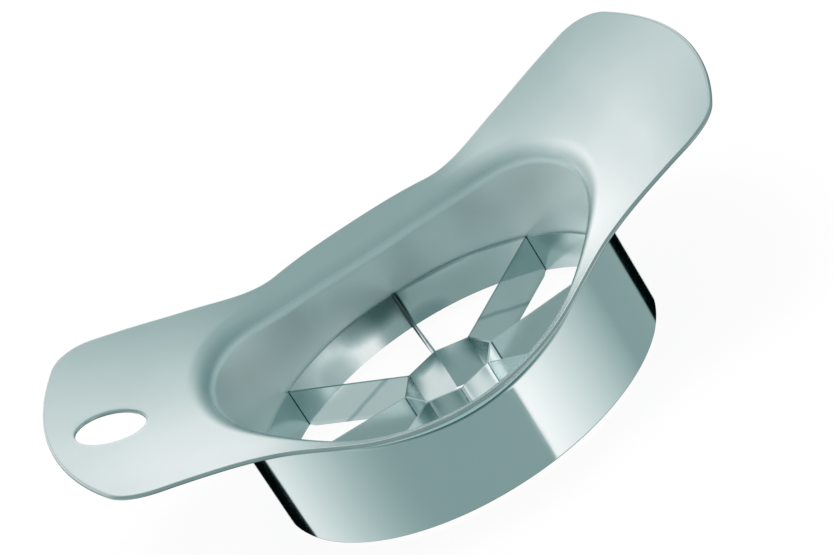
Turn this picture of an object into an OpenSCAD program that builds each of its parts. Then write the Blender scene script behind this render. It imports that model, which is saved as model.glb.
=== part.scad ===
// Apple slicer and corer: a deep-drawn steel body whose round wall flows out into two dished hand
// wings, a rolled band lining the foot of that wall, and eight raked blades around a pointed core.
// Origin: on the axis of the core, at the level of its lower edge. X runs along the hand wings.

/* [Body] */
// Length over both hand wings
body_l = 170; // [156:1:200]
// Width over the rim, across the hand wings
rim_w = 116.5; // [112:0.5:124]
// Height of the rim above the foot of the wall, at its lowest
rim_h = 27.8; // [24:0.1:34]
// Height of the wing tips above the foot of the wall
tip_h = 47.3; // [40:0.1:56]
// Outside diameter of the drawn wall
wall_d = 98; // [92:0.5:102]
// Thickness of the drawn steel
sheet_t = 1; // [0.7:0.05:1.4]
// Height of the bend between the wall and the wings
bend_h = 3.4; // [2.8:0.1:6]
// Reach of that bend, outward from the inside of the wall
bend_w = 5; // [3.5:0.1:6.5]

/* [Hand wings] */
// Width of a wing
wing_w = 90; // [82:0.5:94]
// Radius of the rim's plan on each long side
side_r = 44; // [40:0.5:48]
// Radius of the hollow neck between rim and wing
neck_r = 64; // [40:0.5:70]
// Radius of the wing's corners
corner_r = 12; // [6:0.5:18]
// Radius of the wing's end
end_r = 98; // [80:1:130]
// Depth of the dish across the middle of the body, over the width of a wing
dish_h = 7.7; // [5:0.1:9]
// Diameter of the hanging hole
hole_d = 16.4; // [10:0.1:20]
// Distance from the wing's end to the middle of the hanging hole
hole_in = 13.7; // [12:0.1:18]

/* [Blades] */
// Height of a blade, and of the core
blade_h = 10.8; // [8:0.1:14]
// Thickness of a blade
blade_t = 0.5; // [0.4:0.05:0.8]
// How much lower the blades stand at the core than at the wall
rake_h = 1.4; // [0.4:0.1:2]
// How far a blade's edge stands below the foot of the wall, at the wall
blade_drop = 0.6; // [0.2:0.1:1]
// Length of the relief that lifts the blade's edge to the foot of the wall
relief_w = 1.6; // [1:0.1:3]
// Height of the ground bevel along the cutting edges
grind_h = 1.2; // [0.6:0.1:2]
// Thickness left at a cutting edge
edge_t = 0.12; // [0.08:0.01:0.2]

/* [Core and band] */
// Width of the core over opposite corners
core_w = 23.6; // [18:0.1:28]
// Wall of the core
core_t = 0.5; // [0.4:0.05:0.8]
// Thickness of the band that carries the blades
band_t = 0.5; // [0.4:0.05:0.8]
// Clearance between the band and the drawn wall
band_gap = 0.1; // [0.1:0.05:0.3]
// Clearance where a blade meets the band or the core
seat_gap = 0.02; // [0.01:0.01:0.05]

/* [Hidden] */

steel = [0.76, 0.81, 0.81];
blade_steel = [0.68, 0.73, 0.73];
blade_count = 8;
blade_turn = 360 / blade_count;

// Levels, all above the lower edge of the core
foot_z = rake_h + blade_drop;
band_h = rake_h + blade_h - foot_z;
rim_z = foot_z + rim_h;
tip_z = foot_z + tip_h;

// Plan sizes
wall_in = wall_d / 2 - sheet_t;
band_out = wall_in - band_gap;
band_in = band_out - band_t;
// The rounded edge stands out past the outline of the sheet's upper face by this share of the sheet
edge_share = 0.45;
edge_out = edge_share * sheet_t;
half_l = body_l / 2 - edge_out;
half_rim = rim_w / 2 - edge_out;
half_wing = wing_w / 2 - edge_out;
core_r = core_w / 2;
core_edge = core_t / cos(blade_turn / 2);
cut_over = 2 * sheet_t;

// Rise of the wings' middle line from the body's middle to the tips, at even steps of the half length
rise_shares = [0, 0.16, 0.548, 0.793, 1];
// Depth of the dish at the same steps
dish_shares = [1, 0.86, 0.54, 0.43, 0.22];
saddle_z = rim_z - dish_h * pow(half_rim / half_wing, 2);

// A smooth curve through evenly spaced shares, mirrored at its start
function share_at(tab, u) =
    let (n = len(tab) - 1, k = min(floor(u * n), n - 1), f = u * n - k,
         p1 = tab[k], p2 = tab[k + 1],
         p0 = k > 0 ? tab[k - 1] : tab[1],
         p3 = k < n - 1 ? tab[k + 2] : 2 * tab[n] - tab[n - 1])
    p1 + f * (p2 - p0) / 2 + f * f * (2 * p0 - 5 * p1 + 4 * p2 - p3) / 2
       + f * f * f * (3 * p1 - p0 - 3 * p2 + p3) / 2;

// Height of the dished sheet over any point of the plan, before it is bent down into the wall
function sheet_z(x, y) =
    let (u = min(abs(x) / half_l, 1))
    saddle_z + (tip_z - saddle_z) * share_at(rise_shares, u)
             + dish_h * share_at(dish_shares, u) * pow(y / half_wing, 2);

// One quarter of the plan outline, from the middle of a long side to the tip, as tangent arcs
side_y = half_rim - side_r;
neck_y = half_wing + neck_r;
neck_x = sqrt(pow(side_r + neck_r, 2) - pow(neck_y - side_y, 2));
neck_turn = atan2(neck_x, neck_y - side_y);
corner_y = half_wing - corner_r;
end_x = half_l - end_r;
corner_x = end_x + sqrt(pow(end_r - corner_r, 2) - pow(corner_y, 2));
end_turn = atan2(corner_y, corner_x - end_x);
side_steps = 7;
neck_steps = 6;
edge_steps = 3;
corner_steps = 6;
end_steps = 6;
quarter = concat(
    [for (i = [0 : side_steps - 1]) let (a = neck_turn * i / side_steps)
        [side_r * sin(a), side_y + side_r * cos(a)]],
    [for (i = [0 : neck_steps - 1]) let (a = neck_turn * (1 - i / neck_steps))
        [neck_x - neck_r * sin(a), neck_y - neck_r * cos(a)]],
    [for (i = [0 : edge_steps - 1])
        [neck_x + (corner_x - neck_x) * i / edge_steps, half_wing]],
    [for (i = [0 : corner_steps - 1]) let (a = 90 - (90 - end_turn) * i / corner_steps)
        [corner_x + corner_r * cos(a), corner_y + corner_r * sin(a)]],
    [for (i = [0 : end_steps - 1]) let (a = end_turn * (1 - i / end_steps))
        [end_x + end_r * cos(a), end_r * sin(a)]]);
quarter_n = len(quarter);
outline = concat(
    quarter,
    [[half_l, 0]],
    [for (i = [1 : quarter_n - 1]) [quarter[quarter_n - i][0], -quarter[quarter_n - i][1]]],
    [for (p = quarter) [-p[0], -p[1]]],
    [[-half_l, 0]],
    [for (i = [1 : quarter_n - 1]) [-quarter[quarter_n - i][0], quarter[quarter_n - i][1]]]);
columns = len(outline);

// Section of the sheet's upper face along the ray to each outline point, from the foot to the edge
bend_steps = 7;
wing_steps = 7;
rows = 2 + bend_steps + wing_steps;
function face_point(c, j) =
    let (p = outline[c], edge_r = norm(p), e = p / edge_r,
         // the bend is a quarter of an ellipse hung from the dished sheet
         k = j - 1,
         a = 90 * k / bend_steps,
         r = j < 2 ? wall_in
           : k <= bend_steps ? wall_in + bend_w * (1 - cos(a))
           : wall_in + bend_w + (edge_r - wall_in - bend_w) * (k - bend_steps) / wing_steps,
         x = r * e[0], y = r * e[1],
         z = j == 0 ? foot_z
           : k <= bend_steps ? sheet_z(x, y) - bend_h * (1 - sin(a))
           : sheet_z(x, y))
    [x, y, z];
face = [for (c = [0 : columns - 1]) [for (j = [0 : rows - 1]) face_point(c, j)]];

function unit(v) = v / norm(v);
// Upward and inward normal of that face
function face_normal(c, j) =
    let (along = face[(c + 1) % columns][j] - face[(c + columns - 1) % columns][j],
         across = face[c][min(j + 1, rows - 1)] - face[c][max(j - 1, 0)])
    j < 2 ? -unit([face[c][j][0], face[c][j][1], 0]) : unit(cross(along, across));
under = [for (c = [0 : columns - 1]) [for (j = [0 : rows - 1])
    face[c][j] - sheet_t * face_normal(c, j)]];

// The closed sheet: up the inside, round the softened edge and back down the outside
nose_share = 0.3;
function loop_at(c) = concat(
    face[c],
    [let (last = rows - 1, mid = (face[c][last] + under[c][last]) / 2,
          out = unit([outline[c][0], outline[c][1], 0]))
        mid + nose_share * sheet_t * out],
    [for (j = [0 : rows - 1]) under[c][rows - 1 - j]]);
loop_n = 2 * rows + 1;

module drawn_sheet() {
    points = [for (c = [0 : columns - 1]) each loop_at(c)];
    faces = [for (c = [0 : columns - 1], j = [0 : loop_n - 1])
        let (d = (c + 1) % columns, k = (j + 1) % loop_n,
             a = c * loop_n + j, b = c * loop_n + k, p = d * loop_n + k, q = d * loop_n + j)
        each [[a, b, p], [a, p, q]]];
    polyhedron(points, faces);
}

// The hanging hole is square to the sheet of the wing that it goes through
hole_x = half_l - hole_in;
hole_z = sheet_z(hole_x, 0);
hole_tilt = atan2(sheet_z(hole_x + sheet_t, 0) - sheet_z(hole_x - sheet_t, 0), 2 * sheet_t);

module body() {
    color(steel)
    difference() {
        drawn_sheet();
        translate([-hole_x, 0, hole_z])
            rotate([0, hole_tilt, 0])
                cylinder(d = hole_d, h = 2 * (sheet_t + cut_over), center = true, $fn = 64);
    }
}

module blade_band() {
    color(blade_steel)
    translate([0, 0, foot_z])
    difference() {
        cylinder(r = band_out, h = band_h, $fn = 128);
        translate([0, 0, -cut_over])
            cylinder(r = band_in, h = band_h + 2 * cut_over, $fn = 128);
    }
}

// Eight-sided tube, ground to an edge from outside
module core() {
    color(blade_steel)
    difference() {
        linear_extrude(blade_h)
            difference() {
                circle(r = core_r, $fn = blade_count);
                circle(r = core_r - core_edge, $fn = blade_count);
            }
        for (i = [0 : blade_count - 1])
            rotate([0, 0, (i + 0.5) * blade_turn])
                core_grind();
    }
}

// Wedge ground off one flat of the core
module core_grind() {
    flat_r = core_r * cos(blade_turn / 2);
    rotate([90, 0, 0])
        linear_extrude(core_w, center = true)
            polygon([[flat_r - core_t + edge_t, 0], [flat_r, grind_h], [flat_r + cut_over, grind_h],
                     [flat_r + cut_over, -cut_over], [flat_r - core_t + edge_t, -cut_over]]);
}

// A straight strip, raked down to the core, notched over the core's corner and ground below
blade_tip = core_r + seat_gap;
blade_in = blade_tip - blade_t / 2 * tan(blade_turn / 2);
blade_out = band_in - seat_gap;
blade_slope = rake_h / (blade_out - blade_in);

module blade(turn) {
    color(blade_steel)
    rotate([0, 0, turn])
    intersection() {
        blade_side();
        blade_plan();
        blade_grind();
    }
}

// Outline seen from the side
module blade_side() {
    relief_z = rake_h - relief_w * blade_slope;
    rotate([90, 0, 0])
        linear_extrude(2 * blade_t, center = true)
            polygon([[blade_in - cut_over, -cut_over * blade_slope],
                     [blade_out - relief_w, relief_z],
                     [blade_out, foot_z],
                     [blade_out, rake_h + blade_h],
                     [blade_in - cut_over, blade_h - cut_over * blade_slope]]);
}

// Outline seen from above, with the notch that seats on the core's corner
module blade_plan() {
    translate([0, 0, -cut_over])
        linear_extrude(rake_h + blade_h + 2 * cut_over)
            polygon([[blade_tip, 0], [blade_in, blade_t / 2], [blade_out, blade_t / 2],
                     [blade_out, -blade_t / 2], [blade_in, -blade_t / 2]]);
}

// Section of the strip, following the rake, with the ground edge below
module blade_grind() {
    multmatrix([[1, 0, 0, 0], [0, 1, 0, 0], [blade_slope, 0, 1, -blade_slope * blade_in], [0, 0, 0, 1]])
        rotate([90, 0, 90])
            linear_extrude(blade_out + blade_t)
                polygon([[-edge_t / 2, 0], [edge_t / 2, 0], [blade_t / 2, grind_h],
                         [blade_t / 2, blade_h + blade_t], [-blade_t / 2, blade_h + blade_t],
                         [-blade_t / 2, grind_h]]);
}

body();
blade_band();
core();
blade(0);  // blade_1
blade(blade_turn);  // blade_2
blade(2 * blade_turn);  // blade_3
blade(3 * blade_turn);  // blade_4
blade(4 * blade_turn);  // blade_5
blade(5 * blade_turn);  // blade_6
blade(6 * blade_turn);  // blade_7
blade(7 * blade_turn);  // blade_8
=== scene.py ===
import math

import bpy
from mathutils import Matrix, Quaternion, Vector


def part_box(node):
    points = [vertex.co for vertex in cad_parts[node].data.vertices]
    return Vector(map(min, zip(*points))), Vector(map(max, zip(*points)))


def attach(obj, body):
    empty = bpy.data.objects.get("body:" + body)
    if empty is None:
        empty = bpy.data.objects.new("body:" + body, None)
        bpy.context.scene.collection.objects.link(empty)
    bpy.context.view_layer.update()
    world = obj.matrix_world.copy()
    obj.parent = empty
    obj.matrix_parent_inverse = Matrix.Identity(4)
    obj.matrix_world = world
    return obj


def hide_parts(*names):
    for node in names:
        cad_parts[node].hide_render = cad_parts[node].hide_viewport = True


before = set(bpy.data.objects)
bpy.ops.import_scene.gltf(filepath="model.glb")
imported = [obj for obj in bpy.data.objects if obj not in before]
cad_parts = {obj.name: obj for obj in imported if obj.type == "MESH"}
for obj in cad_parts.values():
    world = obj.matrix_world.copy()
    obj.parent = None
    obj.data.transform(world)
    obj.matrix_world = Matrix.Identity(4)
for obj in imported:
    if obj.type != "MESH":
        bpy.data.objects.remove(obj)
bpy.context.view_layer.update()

# An all-steel apple slicer and corer. The drawn body is made anew here as a fine smooth sheet from the same
# sizes as the solid it stands for. The band, the core and the blades are the solids themselves.
mm = 0.001
scene = bpy.context.scene
scene.view_settings.view_transform = "Standard"


# Small helpers

def activate(thing):
    bpy.ops.object.select_all(action="DESELECT")
    thing.select_set(True)
    bpy.context.view_layer.objects.active = thing
    return thing


def smoothstep(t):
    t = min(max(t, 0), 1)
    return t * t * (3 - 2 * t)


def addModifier(thing, kind, **settings):
    activate(thing)
    modifier = thing.modifiers.new(kind.title(), kind)
    for name, value in settings.items():
        setattr(modifier, name, value)
    bpy.ops.object.modifier_apply(modifier=modifier.name)


# The dished sheet, in the sizes of the solid body

bodySizes = {
    "length": 170 * mm,
    "rimWidth": 116.5 * mm,
    "rimHeight": 27.8 * mm,
    "tipHeight": 47.3 * mm,
    "wallDiameter": 98 * mm,
    "sheet": 1 * mm,
    "bendHeight": 3.4 * mm,
    "bendReach": 5 * mm,
    "wingWidth": 90 * mm,
    "sideRadius": 44 * mm,
    "neckRadius": 64 * mm,
    "cornerRadius": 12 * mm,
    "endRadius": 98 * mm,
    "dishDepth": 7.7 * mm,
    "riseShares": (0, 0.16, 0.548, 0.793, 1),
    "dishShares": (1, 0.86, 0.54, 0.43, 0.22),
    "edgeShare": 0.45,
    "holeDiameter": 16.4 * mm,
    "holeInset": 13.7 * mm,
    "edgeRounding": 0.42 * mm,
    "edgeRoom": 0.7 * mm,
}
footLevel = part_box("body")[0].z
edgeOut = bodySizes["edgeShare"] * bodySizes["sheet"]
halfLength = bodySizes["length"] / 2 - edgeOut
halfRim = bodySizes["rimWidth"] / 2 - edgeOut
halfWing = bodySizes["wingWidth"] / 2 - edgeOut
wallInside = bodySizes["wallDiameter"] / 2 - bodySizes["sheet"]
rimLevel = footLevel + bodySizes["rimHeight"]
tipLevel = footLevel + bodySizes["tipHeight"]
saddleLevel = rimLevel - bodySizes["dishDepth"] * (halfRim / halfWing) ** 2


def shareAt(shares, place):
    # a smooth curve through evenly placed shares, level at the first one
    last = len(shares) - 1
    step = min(int(place * last), last - 1)
    part = place * last - step
    first, second = shares[step], shares[step + 1]
    before = shares[step - 1] if step > 0 else shares[1]
    after = shares[step + 2] if step < last - 1 else 2 * shares[last] - shares[last - 1]
    return (first + part * (second - before) / 2
            + part * part * (2 * before - 5 * first + 4 * second - after) / 2
            + part * part * part * (3 * first - before - 3 * second + after) / 2)


def sheetLevel(x, y):
    place = min(abs(x) / halfLength, 1)
    dish = bodySizes["dishDepth"] * shareAt(bodySizes["dishShares"], place)
    return (saddleLevel + (tipLevel - saddleLevel) * shareAt(bodySizes["riseShares"], place)
            + dish * (y / halfWing) ** 2)


# Faces along each stretch of a quarter of the plan outline, and down the sheet
planSteps = {"side": 30, "neck": 24, "edge": 12, "corner": 16, "end": 20}
sheetRows = {"wall": 6, "bend": 18, "wing": 34}


def planQuarter():
    side, neck = bodySizes["sideRadius"], bodySizes["neckRadius"]
    corner, end = bodySizes["cornerRadius"], bodySizes["endRadius"]
    sideY = halfRim - side
    neckY = halfWing + neck
    neckX = math.sqrt((side + neck) ** 2 - (neckY - sideY) ** 2)
    neckTurn = math.atan2(neckX, neckY - sideY)
    cornerY = halfWing - corner
    endX = halfLength - end
    cornerX = endX + math.sqrt((end - corner) ** 2 - cornerY ** 2)
    endTurn = math.atan2(cornerY, cornerX - endX)
    points = []
    for i in range(planSteps["side"]):
        turn = neckTurn * i / planSteps["side"]
        points.append((side * math.sin(turn), sideY + side * math.cos(turn)))
    for i in range(planSteps["neck"]):
        turn = neckTurn * (1 - i / planSteps["neck"])
        points.append((neckX - neck * math.sin(turn), neckY - neck * math.cos(turn)))
    for i in range(planSteps["edge"]):
        points.append((neckX + (cornerX - neckX) * i / planSteps["edge"], halfWing))
    for i in range(planSteps["corner"]):
        turn = math.pi / 2 - (math.pi / 2 - endTurn) * i / planSteps["corner"]
        points.append((cornerX + corner * math.cos(turn), cornerY + corner * math.sin(turn)))
    for i in range(planSteps["end"]):
        turn = endTurn * (1 - i / planSteps["end"])
        points.append((endX + end * math.cos(turn), end * math.sin(turn)))
    return points


def planOutline():
    # clockwise from above, so that the laid-out faces look up and inwards
    quarter = planQuarter()
    back = quarter[:0:-1]
    outline = quarter + [(halfLength, 0)] + [(x, -y) for x, y in back]
    outline += [(-x, -y) for x, y in quarter] + [(-halfLength, 0)] + [(-x, y) for x, y in back]
    return outline


# The hanging hole takes the place of a block of this many faces each way about its middle
holeBlock = {"columns": 5, "rows": 9, "middleRow": 19, "easing": 1.6}


def layOutSheet():
    print("laying out the drawn sheet")
    outline = planOutline()
    columns = len(outline)
    rows = sheetRows["wall"] + sheetRows["bend"] + sheetRows["wing"]
    bendEnd = wallInside + bodySizes["bendReach"]
    holeColumn = outline.index((-halfLength, 0))
    holeRow = sheetRows["wall"] + sheetRows["bend"] + holeBlock["middleRow"]
    holeX = halfLength - bodySizes["holeInset"]
    slope = (sheetLevel(holeX + mm, 0) - sheetLevel(holeX - mm, 0)) / (2 * mm)
    holeTilt = math.atan(slope)
    holeRadius = bodySizes["holeDiameter"] / 2

    def planPlace(column, row):
        x, y = outline[column % columns]
        if row == rows:
            return x, y
        # the row before the last one leaves room for the rounding of the edge
        beforeX, beforeY = outline[column % columns - 1]
        afterX, afterY = outline[(column + 1) % columns]
        reach = math.hypot(x, y)
        acrossEdge = abs((afterX - beforeX) * y - (afterY - beforeY) * x)
        acrossEdge /= math.hypot(afterX - beforeX, afterY - beforeY) * reach
        share = (row - sheetRows["wall"] - sheetRows["bend"]) / (sheetRows["wing"] - 1)
        radius = bendEnd + (reach - bodySizes["edgeRoom"] / acrossEdge - bendEnd) * share
        return x / reach * radius, y / reach * radius

    def aroundHole(column, row):
        # the block's border is a true circle, and the grid beyond it eases back to its own places
        aside = (column - holeColumn) / holeBlock["columns"]
        outward = (row - holeRow) / holeBlock["rows"]
        ring = max(abs(aside), abs(outward))
        x, y = planPlace(column, row)
        if ring > holeBlock["easing"]:
            return x, y
        if ring > 0:
            aside /= ring
            outward /= ring
        across = outward * math.sqrt(1 - aside * aside / 2) * holeRadius * ring * math.cos(holeTilt)
        along = aside * math.sqrt(1 - outward * outward / 2) * holeRadius * ring
        ease = smoothstep((ring - 1) / (holeBlock["easing"] - 1))
        return -(holeX + across) * (1 - ease) + x * ease, along * (1 - ease) + y * ease

    places = []
    for row in range(rows + 1):
        for column in range(columns + 1):
            x, y = outline[column % columns]
            reach = math.hypot(x, y)
            bend = (row - sheetRows["wall"]) / sheetRows["bend"]
            if bend <= 0:
                x, y = x / reach * wallInside, y / reach * wallInside
                top = sheetLevel(x, y) - bodySizes["bendHeight"]
                z = footLevel + (top - footLevel) * row / sheetRows["wall"]
            elif bend <= 1:
                turn = bend * math.pi / 2
                radius = wallInside + bodySizes["bendReach"] * (1 - math.cos(turn))
                x, y = x / reach * radius, y / reach * radius
                z = sheetLevel(x, y) - bodySizes["bendHeight"] * (1 - math.sin(turn))
            else:
                x, y = aroundHole(column, row)
                z = sheetLevel(x, y)
            places.append((x, y, z))
    holeFaces = []
    for row in range(rows):
        for column in range(columns):
            inColumns = abs(column + 0.5 - holeColumn) < holeBlock["columns"]
            if inColumns and abs(row + 0.5 - holeRow) < holeBlock["rows"]:
                holeFaces.append(row * columns + column)
    return columns, rows, places, holeFaces


def makeBody():
    columns, rows, places, holeFaces = layOutSheet()
    print("making the drawn body")
    bpy.ops.object.select_all(action="DESELECT")
    bpy.ops.mesh.primitive_grid_add(x_subdivisions=columns, y_subdivisions=rows, size=1)
    sheet = bpy.context.object
    sheet.name = "drawn_body"
    mesh = sheet.data
    mesh.vertices.foreach_set("co", [value for place in places for value in place])
    bpy.ops.object.mode_set(mode="EDIT")
    bpy.ops.mesh.select_mode(type="FACE")
    bpy.ops.mesh.select_all(action="DESELECT")
    bpy.ops.object.mode_set(mode="OBJECT")
    for index in holeFaces:
        mesh.polygons[index].select = True
    bpy.ops.object.mode_set(mode="EDIT")
    bpy.ops.mesh.delete(type="FACE")
    bpy.ops.mesh.select_all(action="SELECT")
    bpy.ops.mesh.remove_doubles(threshold=0.001 * mm)
    bpy.ops.object.mode_set(mode="OBJECT")
    mesh.materials.append(satinSteel())
    mesh.materials.append(polishedSteel())
    mesh.materials.append(cutSteel())
    addModifier(sheet, "SOLIDIFY", thickness=bodySizes["sheet"], offset=-1, use_even_offset=True,
                material_offset=1, material_offset_rim=2)
    addModifier(sheet, "BEVEL", width=bodySizes["edgeRounding"], segments=3, limit_method="ANGLE",
                angle_limit=math.radians(50))
    activate(sheet)
    bpy.ops.object.shade_smooth()
    addModifier(sheet, "WEIGHTED_NORMAL", keep_sharp=True, weight=50)
    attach(sheet, "root")
    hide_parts("body")
    return sheet


# Finishes: a value on a wire takes part in sums, and each sum adds its own Math node

class Wire:
    def __init__(self, finish, socket):
        self.finish = finish
        self.socket = socket

    def sum(self, operation, first, second):
        return self.finish.add("ShaderNodeMath", {"operation": operation}, {0: first, 1: second})

    def __add__(self, other):
        return self.sum("ADD", self, other)

    def __radd__(self, other):
        return self.sum("ADD", other, self)

    def __sub__(self, other):
        return self.sum("SUBTRACT", self, other)

    def __rsub__(self, other):
        return self.sum("SUBTRACT", other, self)

    def __mul__(self, other):
        return self.sum("MULTIPLY", self, other)

    def __rmul__(self, other):
        return self.sum("MULTIPLY", other, self)

    def __pow__(self, other):
        return self.sum("POWER", self, other)

    def __abs__(self):
        return self.finish.add("ShaderNodeMath", {"operation": "ABSOLUTE"}, {0: self})


perTurn = 180 / math.pi
# Where a grey is darker its red falls faster, as in the photograph
redPower = 1.34


class Finish:
    def __init__(self, owner):
        self.owner = owner
        self.owner.use_nodes = True
        self.tree = self.owner.node_tree
        self.tree.nodes.clear()

    def add(self, kind, settings=None, inputs=None, output=0):
        node = self.tree.nodes.new(kind)
        for name, value in (settings or {}).items():
            if name == "stops":
                self.setStops(node.color_ramp, value)
            else:
                setattr(node, name, value)
        for name, value in (inputs or {}).items():
            if isinstance(value, Wire):
                self.tree.links.new(value.socket, node.inputs[name])
            else:
                node.inputs[name].default_value = value
        if output is None or not node.outputs:
            return node
        return Wire(self, node.outputs[output])

    def setStops(self, ramp, stops):
        while len(ramp.elements) < len(stops):
            ramp.elements.new(0.5)
        for element, (place, colour) in zip(ramp.elements, stops):
            element.position = place
            element.color = (*colour, 1)

    def noise(self, scale, detail=2.0, roughness=0.5, stretch=(1, 1, 1)):
        where = self.add("ShaderNodeTexCoord", output="Object")
        where = self.add("ShaderNodeMapping", None, {"Vector": where, "Scale": stretch})
        return self.add("ShaderNodeTexNoise", None,
                        {"Vector": where, "Scale": scale, "Detail": detail, "Roughness": roughness})

    def parts(self, vector):
        split = self.add("ShaderNodeSeparateXYZ", None, {"Vector": vector}, output=None)
        return [Wire(self, split.outputs[name]) for name in "XYZ"]

    def bearing(self, x, y):
        # degrees round from +X
        return self.add("ShaderNodeMath", {"operation": "ARCTAN2"}, {0: y, 1: x}) * perTurn

    def around(self):
        # degrees round from +X, distance from the axis and level, all from Object coordinates
        x, y, z = self.parts(self.add("ShaderNodeTexCoord", output="Object"))
        return self.bearing(x, y), (x * x + y * y) ** 0.5, z

    def wrap(self, value, low, high):
        return self.add("ShaderNodeMath", {"operation": "WRAP"}, {0: value, 1: high, 2: low})

    def spread(self, value, low, high, toLow, toHigh, kind="LINEAR"):
        return self.add("ShaderNodeMapRange", {"clamp": True, "interpolation_type": kind},
                        {"Value": value, "From Min": low, "From Max": high,
                         "To Min": toLow, "To Max": toHigh})

    def ease(self, value, low, high, toLow, toHigh):
        return self.spread(value, low, high, toLow, toHigh, "SMOOTHSTEP")

    def mix(self, share, first, second, kind="MIX"):
        return self.add("ShaderNodeMix", {"data_type": "RGBA", "blend_type": kind},
                        {0: share, 6: first, 7: second}, output=2)

    def darken(self, colour, share):
        shade = self.add("ShaderNodeCombineColor", None, {0: share ** redPower, 1: share, 2: share})
        return self.mix(1.0, colour, shade, "MULTIPLY")

    def close(self, surface, kind="ShaderNodeOutputMaterial"):
        self.add(kind, None, {"Surface": surface})
        return self.owner


# Most of a noise lies between these two values
noiseLow = 0.3
noiseHigh = 0.7


def steel(name, look, reworked=None):
    # reworked changes the plain values from place to place, and may give a share of soot as well
    finish = Finish(bpy.data.materials.new(name))
    cloud = finish.noise(look["cloudScale"], detail=3)
    colour = finish.add("ShaderNodeValToRGB",
                        {"stops": [(noiseLow, look["dark"]), (noiseHigh, look["light"])]}, {"Fac": cloud})
    grain = finish.noise(look["grainScale"], roughness=0.6, stretch=look["grainStretch"])
    rough = finish.spread(grain, noiseLow, noiseHigh, look["roughLow"], look["roughHigh"])
    values = {"Base Color": colour, "Roughness": rough, "Metallic": 1.0}
    soot = None
    if reworked:
        values, soot = reworked(finish, colour, rough)
    swell = finish.noise(look["swellScale"], detail=1)
    height = grain * look["grainHeight"] + swell * look["swellHeight"]
    values["Normal"] = finish.add("ShaderNodeBump", None,
                                  {"Height": height, "Distance": 1.0, "Strength": 1.0})
    surface = finish.add("ShaderNodeBsdfPrincipled", None, values)
    if soot:
        sootAndPaintedShade = finish.add("ShaderNodeBsdfDiffuse", None, {"Color": (*look["tint"], 1)})
        surface = finish.add("ShaderNodeMixShader", None, {0: soot, 1: surface, 2: sootAndPaintedShade})
    return finish.close(surface)


def satinSteel():
    look = {
        "dark": (0.56, 0.655, 0.655), "light": (0.60, 0.69, 0.69), "cloudScale": 45,
        "grainScale": 2600, "grainStretch": (1, 1, 1), "roughLow": 0.25, "roughHigh": 0.27,
        "grainHeight": 0.00000003, "swellScale": 60, "swellHeight": 0.00001}
    # Deep drawing leaves the wall more matt than the wings; where it turns to the two wings it is painted
    # lighter and less metal, a painted pool of light.
    # The last three pairs are degrees from the middle of the right wing.
    wall = {
        "from": 48.0 * mm, "to": 49.1 * mm, "rough": 0.12, "metal": 0.6, "colour": (0.53, 0.66, 0.66, 1),
        "endTo": 48.5 * mm, "endMetal": 0.25, "paintedLightColour": (0.76, 0.88, 0.88, 1), "leftShare": 0.4,
        "right": (10, 60), "left": (118, 140), "farLeft": (150, 168)}
    # The bend is painted darker in place of its dark reflection, most of all on the near side, where the
    # darkened ring moves out to the lip.
    # The last three pairs are degrees from the far side.
    bend = {
        "peak": 48.8 * mm, "end": 51.5 * mm, "lipPeak": 50.6 * mm, "lipEnd": 53.4 * mm,
        "farPaintedShade": 0.09, "nearPaintedShade": 0.62, "grows": (30, 120), "moves": (75, 110), "fades": (135, 160)}

    def drawn(finish, colour, rough):
        turn, reach = finish.around()[:2]
        onWall = finish.ease(reach, wall["from"], wall["to"], 1, 0)
        fromRight = abs(turn)
        atRight = finish.spread(fromRight, *wall["right"], 1, 0)
        atLeft = finish.spread(fromRight, *wall["left"], 0, wall["leftShare"])
        atLeft = atLeft * finish.spread(fromRight, *wall["farLeft"], 1, 0)
        # painted light: where the wall turns to the wings its colour is lighter and less metal
        paintedLightShare = (atRight + atLeft) * finish.spread(reach, wall["from"], wall["endTo"], 1, 0)
        mattWithPaintedLight = finish.mix(paintedLightShare, wall["colour"], wall["paintedLightColour"])
        metal = finish.spread(paintedLightShare, 0, 1, wall["metal"], wall["endMetal"])
        fromFar = abs(finish.wrap(turn - 90, -180, 180))
        peak = finish.spread(fromFar, *bend["moves"], bend["peak"], bend["lipPeak"])
        end = finish.spread(fromFar, *bend["moves"], bend["end"], bend["lipEnd"])
        # painted shade: a dark ring along the bend, standing in for its dark reflection
        sootAndPaintedShade = finish.spread(fromFar, *bend["grows"], bend["farPaintedShade"], bend["nearPaintedShade"])
        sootAndPaintedShade = sootAndPaintedShade * finish.ease(fromFar, *bend["fades"], 1, 0)
        sootAndPaintedShade = sootAndPaintedShade * finish.ease(reach, wall["from"], peak, 0, 1)
        sootAndPaintedShade = sootAndPaintedShade * finish.ease(reach, peak, end, 1, 0)
        return {"Base Color": finish.darken(finish.mix(onWall, colour, mattWithPaintedLight), 1 - sootAndPaintedShade),
                "Roughness": rough + onWall * wall["rough"], "Metallic": 1 - onWall * (1 - metal)}, None

    return steel("satin steel", look, drawn)


def cutSteel():
    return steel("cut steel edge", {
        "dark": (0.42, 0.49, 0.49), "light": (0.48, 0.55, 0.55), "cloudScale": 200,
        "grainScale": 1500, "grainStretch": (1, 1, 1), "roughLow": 0.28, "roughHigh": 0.36,
        "grainHeight": 0.0000002, "swellScale": 40, "swellHeight": 0.000004})


def polishedSteel():
    return steel("polished steel", {
        "dark": (0.60, 0.69, 0.69), "light": (0.63, 0.715, 0.715), "cloudScale": 30,
        "grainScale": 1500, "grainStretch": (1, 1, 0.1), "roughLow": 0.06, "roughHigh": 0.1,
        "grainHeight": 0.0000002, "swellScale": 40, "swellHeight": 0.000006})


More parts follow.
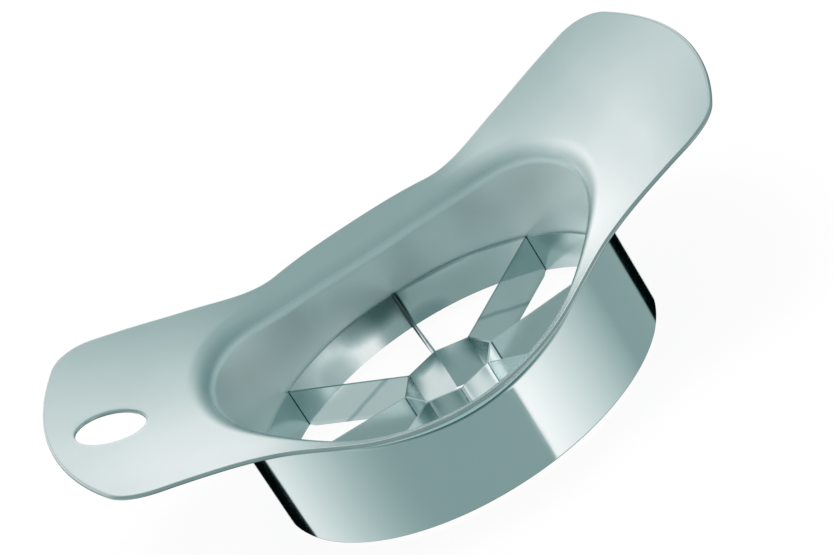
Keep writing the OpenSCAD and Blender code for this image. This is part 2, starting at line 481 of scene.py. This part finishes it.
def bladeSteel():
    look = {
        "dark": (0.56, 0.64, 0.64), "light": (0.61, 0.69, 0.69), "cloudScale": 60,
        "grainScale": 1800, "grainStretch": (1, 1, 0.2), "roughLow": 0.16, "roughHigh": 0.2,
        "grainHeight": 0.0000002, "swellScale": 90, "swellHeight": 0.000004,
        "tint": (0.03, 0.055, 0.055), "rippleScale": 900, "blotScale": 160, "markedRough": 0.12}
    # Thin weld seams at both ends of a blade, one blade every so many degrees
    weld = {
        "bladeStep": 45, "coreEnd": 11.85 * mm, "wallEnd": 47.25 * mm, "fade": 0.2 * mm, "half": 0.3 * mm,
        "edge": 0.12 * mm, "ripple": 0.35 * mm, "share": 0.85, "coreShare": 0.75}
    # Painted shade: inside the core the steel is darker beside the corners, more so towards the top
    corner = {
        "inside": 11.3 * mm, "outside": 11.5 * mm, "half": 4 * mm, "ripple": 2 * mm, "share": 0.5,
        "low": 3 * mm, "high": 10.6 * mm}
    # Soft dark marks, part heat tint and part painted shade and dark reflection (the thin ones at 12.2 mm
    # are painted shade under the funnel's step): degrees round, level, half the width in degrees, half the
    # height, share
    wallHeatAndShadeMarks = (
        (100, 11.5 * mm, 16, 7 * mm, 0.62), (89.5, 8 * mm, 1.1, 8 * mm, 0.95), (84, 2 * mm, 9, 5 * mm, 0.3),
        (30, 11 * mm, 13, 7 * mm, 0.35), (130, 9 * mm, 14, 7 * mm, 0.15), (117, 4 * mm, 9, 7 * mm, 0.3),
        (76, 12.2 * mm, 16, 1.1 * mm, 0.5), (55, 12.2 * mm, 14, 0.8 * mm, 0.4))
    coreHeatAndShadeMarks = (
        (22, 9 * mm, 34, 14 * mm, 0.62), (158, 9 * mm, 34, 14 * mm, 0.5), (112, 10.8 * mm, 24, 3 * mm, 0.55))
    markRipple = 0.4
    # Painted dark reflections cross the far blades at one slant: along each of them, reach + slant x level
    # stays the same
    paintedReflection = {
        "slant": 1.8, "ripple": 1.5 * mm, "arc": 38 * mm, "half": 1.7 * mm, "arcShare": 0.3,
        "outer": 51.5 * mm, "outerEdge": 1 * mm, "outerShare": 0.33, "begins": (20, 21), "ends": (159, 160)}
    # The ground top edges fall towards the core. A painted highlight lights them on the near blades, and
    # painted shade darkens them on the far ones.
    ground = {
        "coreReach": 11.8 * mm, "coreLevel": 10.8 * mm, "wallReach": 47.4 * mm, "wallLevel": 12.2 * mm,
        "deep": 0.12 * mm, "thin": 0.02 * mm, "edgeHighlight": (10, 30), "sootAndPaintedShade": (30, 45), "edgeShadeShare": 0.35}
    # One blade is scorched along its outer half, and one is burnt beside the core
    scorch = {"blade": 90, "reach": (26 * mm, 32 * mm), "share": 0.85}
    burn = {"blade": -135, "reach": (14 * mm, 18 * mm), "share": 0.6}
    besideBlade = (9, 10)

    def weldsMarksAndPaintedLight(finish, colour, rough):
        turn, reach, level = finish.around()
        fromBlade = abs(finish.wrap(turn, -weld["bladeStep"] / 2, weld["bladeStep"] / 2))
        across = fromBlade * reach * (1 / perTurn)
        ripple = finish.noise(look["rippleScale"], detail=3) - 0.5
        blot = finish.noise(look["blotScale"], detail=3) - 0.5
        atWall = finish.spread(reach, weld["wallEnd"] - weld["fade"], weld["wallEnd"], 0, 1)
        atCore = finish.spread(reach, weld["coreEnd"], weld["coreEnd"] + weld["fade"], 1, 0)
        outside = finish.spread(reach, corner["inside"], corner["outside"], 0, 1)
        seam = finish.spread(across + ripple * weld["ripple"], weld["half"], weld["half"] + weld["edge"],
                             weld["share"], 0)
        cleanAndLit = 1 - seam * (atCore * outside * weld["coreShare"] + atWall)

        # painted shade beside the core's inner corners
        dark = finish.ease(across + blot * corner["ripple"], 0, corner["half"], corner["share"], 0)
        dark = dark * atCore * (1 - outside) * finish.ease(level, corner["low"], corner["high"], 0, 1)
        # painted reflection: a dark arc and an outer dark band on the far blades
        onPaintedReflection = finish.spread(turn, *paintedReflection["begins"], 0, 1) - finish.spread(turn, *paintedReflection["ends"], 0, 1)
        onPaintedReflection = (1 - atWall) * (1 - atCore) * onPaintedReflection
        slanted = reach + level * paintedReflection["slant"] + blot * paintedReflection["ripple"]
        arc = finish.ease(abs(slanted - paintedReflection["arc"]), 0, paintedReflection["half"], paintedReflection["arcShare"], 0)
        outer = finish.ease(slanted, paintedReflection["outer"], paintedReflection["outer"] + paintedReflection["outerEdge"],
                            0, paintedReflection["outerShare"])
        cleanAndLit = cleanAndLit * (1 - dark) * (1 - arc * onPaintedReflection) * (1 - outer * onPaintedReflection)
        # heat tint together with painted shade and painted dark reflection
        for marks, part in ((wallHeatAndShadeMarks, atWall), (coreHeatAndShadeMarks, atCore)):
            for place, height, wide, tall, share in marks:
                aside = (turn - place) * (1 / wide) + blot * markRipple
                above = (level - height) * (1 / tall)
                cleanAndLit = cleanAndLit * (1 - finish.ease(aside * aside + above * above, 0, 1, share, 0) * part)

        # painted highlight and painted shade along the ground top edges
        top = finish.spread(reach, ground["coreReach"], ground["wallReach"],
                            ground["coreLevel"], ground["wallLevel"])
        onEdge = finish.spread(level - top, -ground["deep"], -ground["thin"], 0, 1) * (1 - atWall)
        edgeHighlight = (1 - cleanAndLit) * finish.spread(turn, *ground["edgeHighlight"], 1, 0)
        sootAndPaintedShade = cleanAndLit * finish.spread(turn, *ground["sootAndPaintedShade"], 0, ground["edgeShadeShare"]) * (1 - atCore)
        cleanAndLit = cleanAndLit + (edgeHighlight - sootAndPaintedShade) * onEdge

        def onBlade(place):
            return finish.spread(abs(turn - place), *besideBlade, 1, 0) * (1 - atWall)

        scorched = onBlade(scorch["blade"]) * finish.spread(reach, *scorch["reach"], 0, scorch["share"])
        burnt = onBlade(burn["blade"]) * finish.spread(reach, *burn["reach"], burn["share"], 0)
        burnt = burnt * (1 - atCore)
        cleanAndLit = cleanAndLit * (1 - scorched) * (1 - burnt)
        # the blades' colour is darkened by welds, heat tint, painted shade and painted reflections, and
        # lightened by a painted highlight
        return {"Base Color": finish.darken(colour, cleanAndLit), "Metallic": 1.0,
                "Roughness": rough + (1 - cleanAndLit) * look["markedRough"]}, scorched

    return steel("rolled blade steel", look, weldsMarksAndPaintedLight)


def finishNodes():
    print("finishing the band, the core and the blades")
    blade = bladeSteel()
    for name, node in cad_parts.items():
        if name != "body":
            node.data.materials.clear()
            node.data.materials.append(blade)


# Camera, floor and light

cameraSizes = {
    "place": (-24.9 * mm, -712.6 * mm, 365.7 * mm),
    "aim": (5.06 * mm, 0, 34.55 * mm),
    "roll": -32.13,
    "lens": 150.43,
    "sensor": 36,
    "nearest": 10 * mm,
}


def makeCamera():
    print("placing the camera")
    data = bpy.data.cameras.new("camera")
    data.lens = cameraSizes["lens"]
    data.sensor_width = cameraSizes["sensor"]
    data.clip_start = cameraSizes["nearest"]
    camera = bpy.data.objects.new("camera", data)
    scene.collection.objects.link(camera)
    place = Vector(cameraSizes["place"])
    camera.location = place
    camera.rotation_mode = "QUATERNION"
    look = (Vector(cameraSizes["aim"]) - place).to_track_quat("-Z", "Y")
    camera.rotation_quaternion = look @ Quaternion((0, 0, 1), math.radians(cameraSizes["roll"]))
    scene.camera = camera


# The floor shows itself as plain white to the camera, all but the share that keeps the shadow
floorLook = {"size": 8, "colour": (0.93, 0.93, 0.93), "plainShare": 0.92}


def makeFloor():
    print("laying the floor")
    bpy.ops.object.select_all(action="DESELECT")
    bpy.ops.mesh.primitive_plane_add(size=floorLook["size"])
    floor = bpy.context.object
    floor.name = "floor"
    finish = Finish(bpy.data.materials.new("pale floor"))
    shaded = finish.add("ShaderNodeBsdfDiffuse", None, {"Color": (*floorLook["colour"], 1)})
    plain = finish.add("ShaderNodeEmission", None, {"Color": (1, 1, 1, 1), "Strength": 1.0})
    seen = finish.add("ShaderNodeLightPath", output="Is Camera Ray") * floorLook["plainShare"]
    surface = finish.add("ShaderNodeMixShader", None, {0: seen, 1: shaded, 2: plain})
    floor.data.materials.append(finish.close(surface))
    floor.visible_glossy = False


# What the steel shows of the studio, by direction: degrees round from +X, degrees above the horizon, and
# levels of white
studioLook = {
    "diffuse": 0.85,
    "lift": 0.75,
    "liftedRedPower": 1.15,
    "redShare": 0.98,
    "even": 0.53,
    "horizon": {"low": -22, "high": -6},
    "ground": {"level": 0.46, "under": 0.16, "low": -78, "high": -50},
    "lowLights": {"low": -58, "high": -36},
    "window": {"from": -68, "to": 8, "edge": 0.6, "gain": 0.9},
    "glow": {"from": 131, "to": 226, "edge": 0.6, "gain": 0.6},
    "behind": {"from": 66, "to": 108, "edge": 3, "gain": 0.55},
    "flags": {"edge": 1, "depth": 0.995},
    "leftFlag": {"from": 103, "to": 130, "low": -20, "high": -9},
    "rightFlag": {"from": 47, "to": 71, "low": -14, "high": 1},
    "boxes": {"low": -12, "full": 12, "fade": 6, "gone": 50},
    "leftBox": {"gain": 1.0, "near": 84, "full": 100, "fade": 112, "gone": 175},
    "rightBox": {"gain": 0.83, "near": 90, "full": 84, "fade": 82, "gone": 53},
    "gap": {"from": 84, "deepFrom": 88, "deepTo": 93, "to": 99, "low": 8, "high": 18, "depth": 0.75},
}


def makeWorld():
    print("lighting the studio")
    look = studioLook
    finish = Finish(bpy.data.worlds.new("studio"))
    scene.world = finish.owner
    x, y, z = finish.parts(finish.add("ShaderNodeTexCoord", output="Generated"))
    turn = finish.bearing(x, y)
    fromLeft = finish.wrap(turn, 0, 360)
    rise = finish.add("ShaderNodeMath", {"operation": "ARCSINE"}, {0: z}) * perTurn
    path = finish.add("ShaderNodeLightPath", output=None)
    isCamera, isGlossy, bounce = (Wire(finish, path.outputs[name]) for name in
                                  ("Is Camera Ray", "Is Glossy Ray", "Glossy Depth"))

    def step(value, low, high):
        # goes from 0 at low to 1 at high, which may lie on either side
        if low < high:
            return finish.ease(value, low, high, 0, 1)
        return finish.ease(value, high, low, 1, 0)

    # below the horizon: an even ground, a window with one sharp edge, a soft glow and a light from behind
    ground, lowLights = look["ground"], look["lowLights"]
    window, glow, behind = look["window"], look["glow"], look["behind"]
    side = step(turn, window["from"] - window["edge"], window["from"] + window["edge"])
    side = side * finish.spread(turn, window["from"], window["to"], window["gain"], 0)
    glowing = step(fromLeft, glow["from"] - glow["edge"], glow["from"] + glow["edge"])
    glowing = glowing * step(fromLeft, glow["to"], glow["from"]) * glow["gain"]
    rear = step(turn, behind["from"], behind["from"] + behind["edge"])
    rear = rear * step(turn, behind["to"], behind["to"] - behind["edge"]) * behind["gain"]
    under = finish.spread(bounce, 1, 2, ground["under"], ground["level"])
    level = finish.ease(rise, ground["low"], ground["high"], under, ground["level"])
    level = level + (side + glowing) * step(rise, lowLights["low"], lowLights["high"]) + rear

    # above it: two wide soft boxes behind the object with a gap between them, in an even room
    left, right, gap, boxes = look["leftBox"], look["rightBox"], look["gap"], look["boxes"]
    onLeft = step(turn, left["near"], left["full"]) * step(fromLeft, left["gone"], left["fade"])
    onRight = step(turn, right["near"], right["full"]) * step(turn, right["gone"], right["fade"])
    between = step(turn, gap["from"], gap["deepFrom"]) * step(turn, gap["to"], gap["deepTo"])
    soft = onLeft * left["gain"] + onRight * right["gain"]
    soft = soft * (1 - between * step(rise, gap["low"], gap["high"]) * gap["depth"])
    soft = soft * step(rise, boxes["low"], boxes["full"]) * step(rise, boxes["gone"], boxes["fade"])
    above = step(rise, look["horizon"]["low"], look["horizon"]["high"])
    level = level * (1 - above) + (look["even"] + soft) * above

    # and two dark flags across both
    edge, depth = look["flags"]["edge"], look["flags"]["depth"]
    for flag in (look["leftFlag"], look["rightFlag"]):
        inside = step(turn, flag["from"] - edge, flag["from"] + edge)
        inside = inside * step(turn, flag["to"] + edge, flag["to"] - edge)
        level = level * (1 - inside * step(rise, flag["high"], flag["low"]) * depth)

    # what comes by way of a second piece of steel is lifted
    lift = 1 + (bounce - 1) * look["lift"]
    plain = level * lift
    red = (level ** redPower) * (lift ** look["liftedRedPower"]) * look["redShare"]
    studio = finish.add("ShaderNodeCombineColor", None, {0: red, 1: plain, 2: plain})
    shown = finish.add("ShaderNodeBackground", None, {"Color": studio, "Strength": 1.0})
    plainLight = finish.add("ShaderNodeBackground", None,
                            {"Color": (1, 1, 1, 1), "Strength": look["diffuse"]})
    white = finish.add("ShaderNodeBackground", None, {"Color": (1, 1, 1, 1), "Strength": 1.0})
    surface = finish.add("ShaderNodeMixShader", None, {0: isGlossy, 1: plainLight, 2: shown})
    surface = finish.add("ShaderNodeMixShader", None, {0: isCamera, 1: surface, 2: white})
    finish.close(surface, "ShaderNodeOutputWorld")


lampSizes = {"width": 0.7, "level": 1.2, "energy": 6}


def makeLamp():
    data = bpy.data.lights.new("overhead", "AREA")
    data.shape = "DISK"
    data.size = lampSizes["width"]
    data.energy = lampSizes["energy"]
    lamp = bpy.data.objects.new("overhead", data)
    lamp.location = (0, 0, lampSizes["level"])
    scene.collection.objects.link(lamp)
    lamp.visible_glossy = False


makeCamera()
makeWorld()
makeFloor()
makeLamp()
finishNodes()
makeBody()
